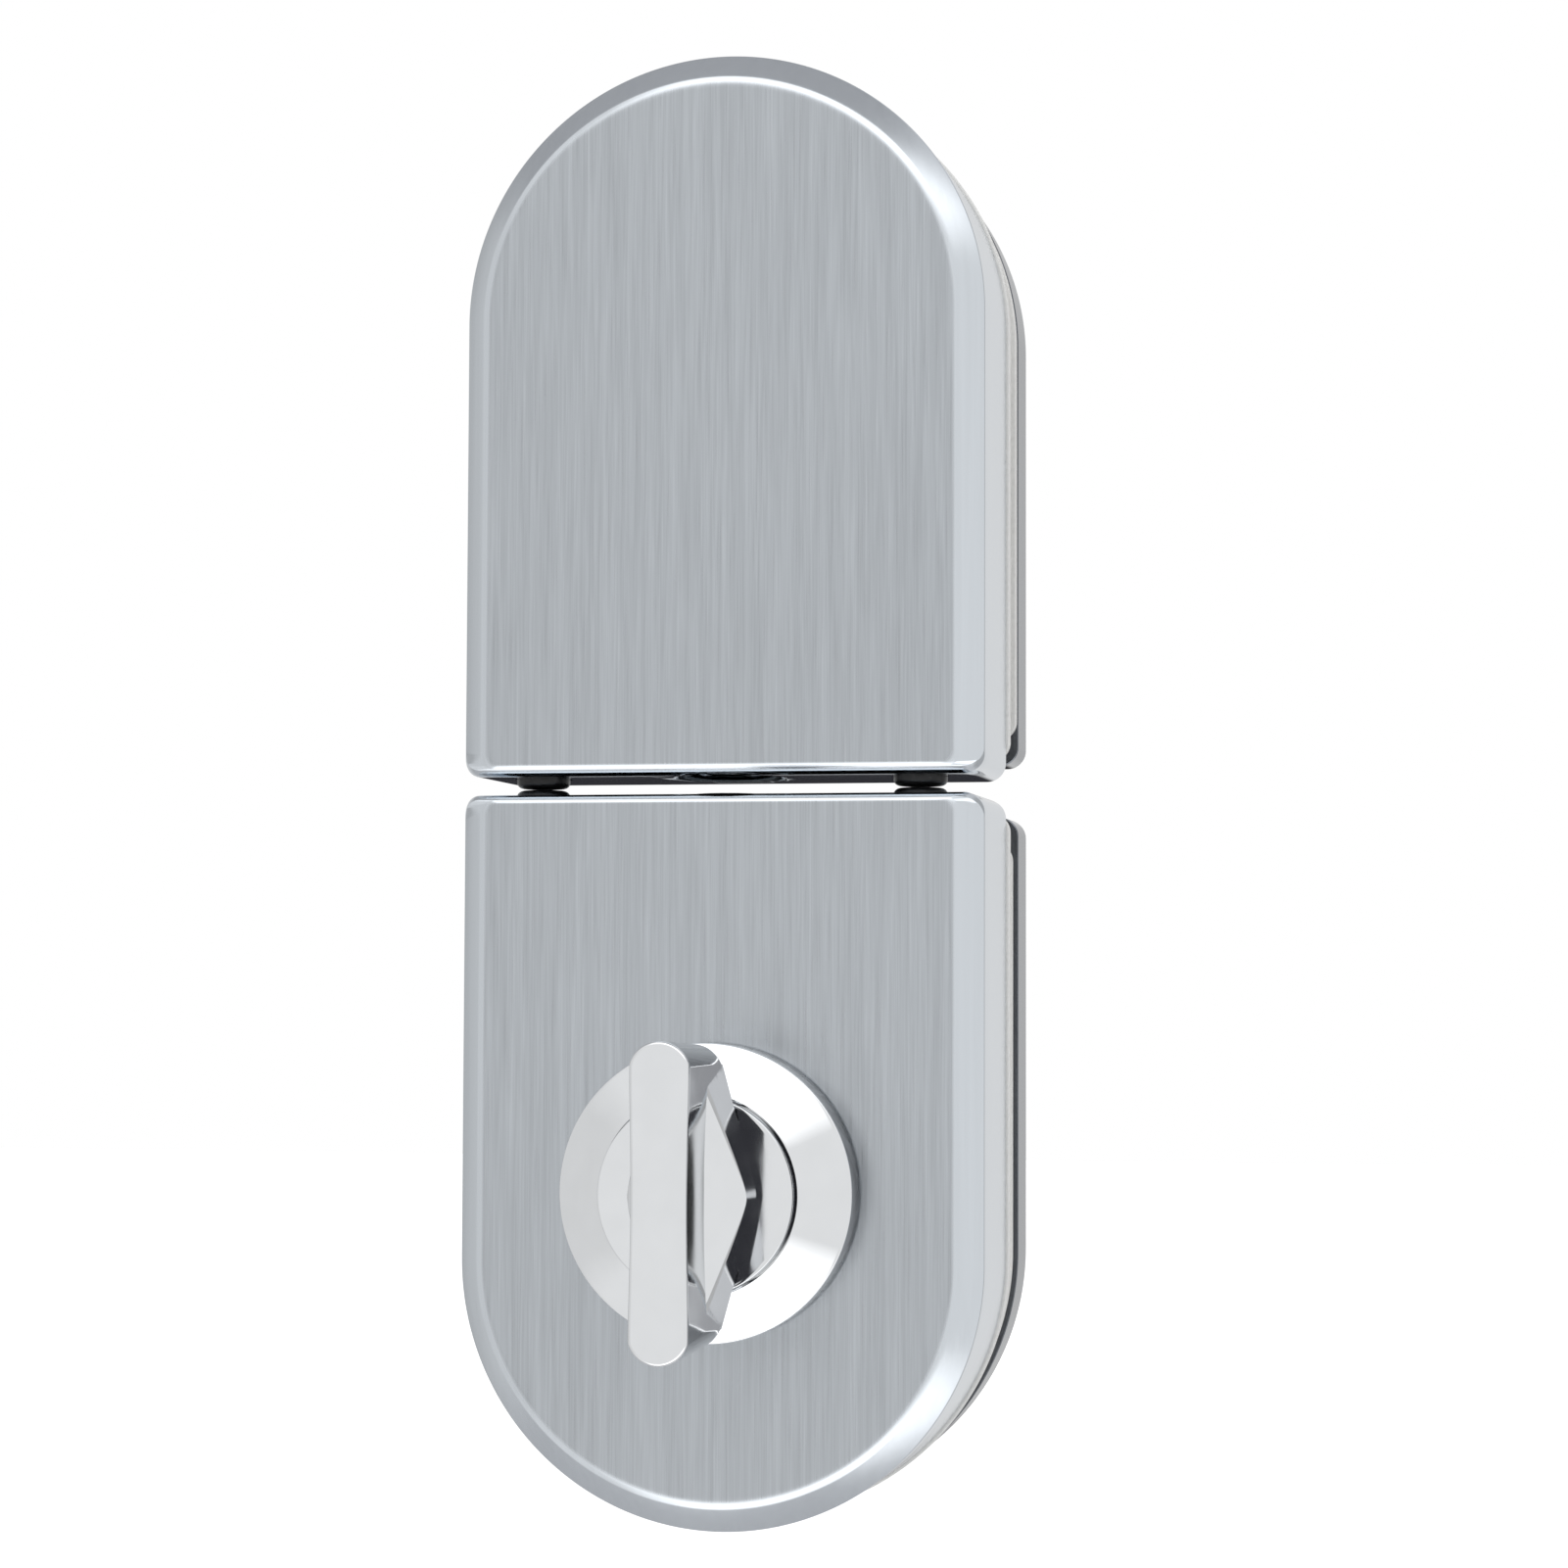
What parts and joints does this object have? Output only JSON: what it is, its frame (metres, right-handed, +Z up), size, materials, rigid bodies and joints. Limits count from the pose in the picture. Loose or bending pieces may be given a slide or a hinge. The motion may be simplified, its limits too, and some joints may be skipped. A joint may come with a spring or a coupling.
{
  "type": "glass door lock",
  "caption": "Two-leaf lock that clamps on frameless glass doors, with a thumb-turn, a sliding round bolt and a key cylinder behind.",
  "frame": {"origin": "centre of the bounding box; X = 0 is the middle of the lock's width and Z = 0 the middle of the gap between the two halves", "axes": "X across the lock, Y into the door from the thumb-turn's side, Z up along the lock's length from the lock half to the strike half"},
  "size_m": [0.0668, 0.0734, 0.1842],
  "materials": {
    "brushed_stainless": "stainless steel sheet, brushed along the lock's length",
    "polished_chrome": "polished zinc casting, chromium plated",
    "cast_zinc": "die cast, left as it leaves the mould",
    "machined_steel": "turned and milled, nickel plated",
    "turned_brass": "turned, uncoated",
    "white_gasket": "soft, matt",
    "black_rubber": "moulded, satin",
    "black_acetal": "milled, satin"
  },
  "bodies": {
    "casing": {"lock_cover": "brushed_stainless", "lock_base": "cast_zinc", "lock_front_gasket": "white_gasket", "lock_rear_gasket": "white_gasket", "lock_clamp_plate": "cast_zinc", "lock_back_cover": "brushed_stainless", "strike_cover": "brushed_stainless", "strike_base": "cast_zinc", "strike_front_gasket": "white_gasket", "strike_rear_gasket": "white_gasket", "strike_clamp_plate": "cast_zinc", "strike_back_cover": "brushed_stainless", "lock_clamp_screw_left": "machined_steel", "lock_cover_screw_left": "machined_steel", "lock_buffer_left": "black_rubber", "strike_clamp_screw_left": "machined_steel", "strike_cover_screw_left": "machined_steel", "strike_buffer_left": "black_rubber", "lock_clamp_screw_right": "machined_steel", "lock_cover_screw_right": "machined_steel", "lock_buffer_right": "black_rubber", "strike_clamp_screw_right": "machined_steel", "strike_cover_screw_right": "machined_steel", "strike_buffer_right": "black_rubber", "strike_liner": "black_acetal", "bolt_guide": "black_acetal", "detent_ball": "machined_steel", "detent_spring": "machined_steel", "detent_screw": "machined_steel", "rosette": "polished_chrome", "rosette_nut": "turned_brass", "key_cylinder": "polished_chrome", "cylinder_ring": "polished_chrome"},
    "thumb_turn": {"turn_knob": "polished_chrome", "knob_clip": "machined_steel", "spindle": "machined_steel", "cam": "machined_steel"},
    "dead_bolt": {"bolt": "machined_steel"},
    "plug_group": {"key_plug": "turned_brass", "tailpiece": "machined_steel"}
  },
  "joints": [
    {"name": "knob_turn", "type": "hinge", "parent": "casing", "child": "thumb_turn", "pos_m": [0, -0.01815, -0.0499], "axis": [0, 1, 0], "range_deg": [0, 90]},
    {"name": "bolt_slide", "type": "slide", "parent": "casing", "child": "dead_bolt", "axis": [0, 0, 1], "range_m": [0, 0.01135]},
    {"name": "plug_turn", "type": "hinge", "parent": "casing", "child": "plug_group", "pos_m": [0, 0.03615, -0.0499], "axis": [0, 1, 0], "range_deg": [0, 90]}
  ],
  "couplings": [
    {"joint": "bolt_slide", "follows": "knob_turn", "m_per_rad": 0.0072}
  ]
}
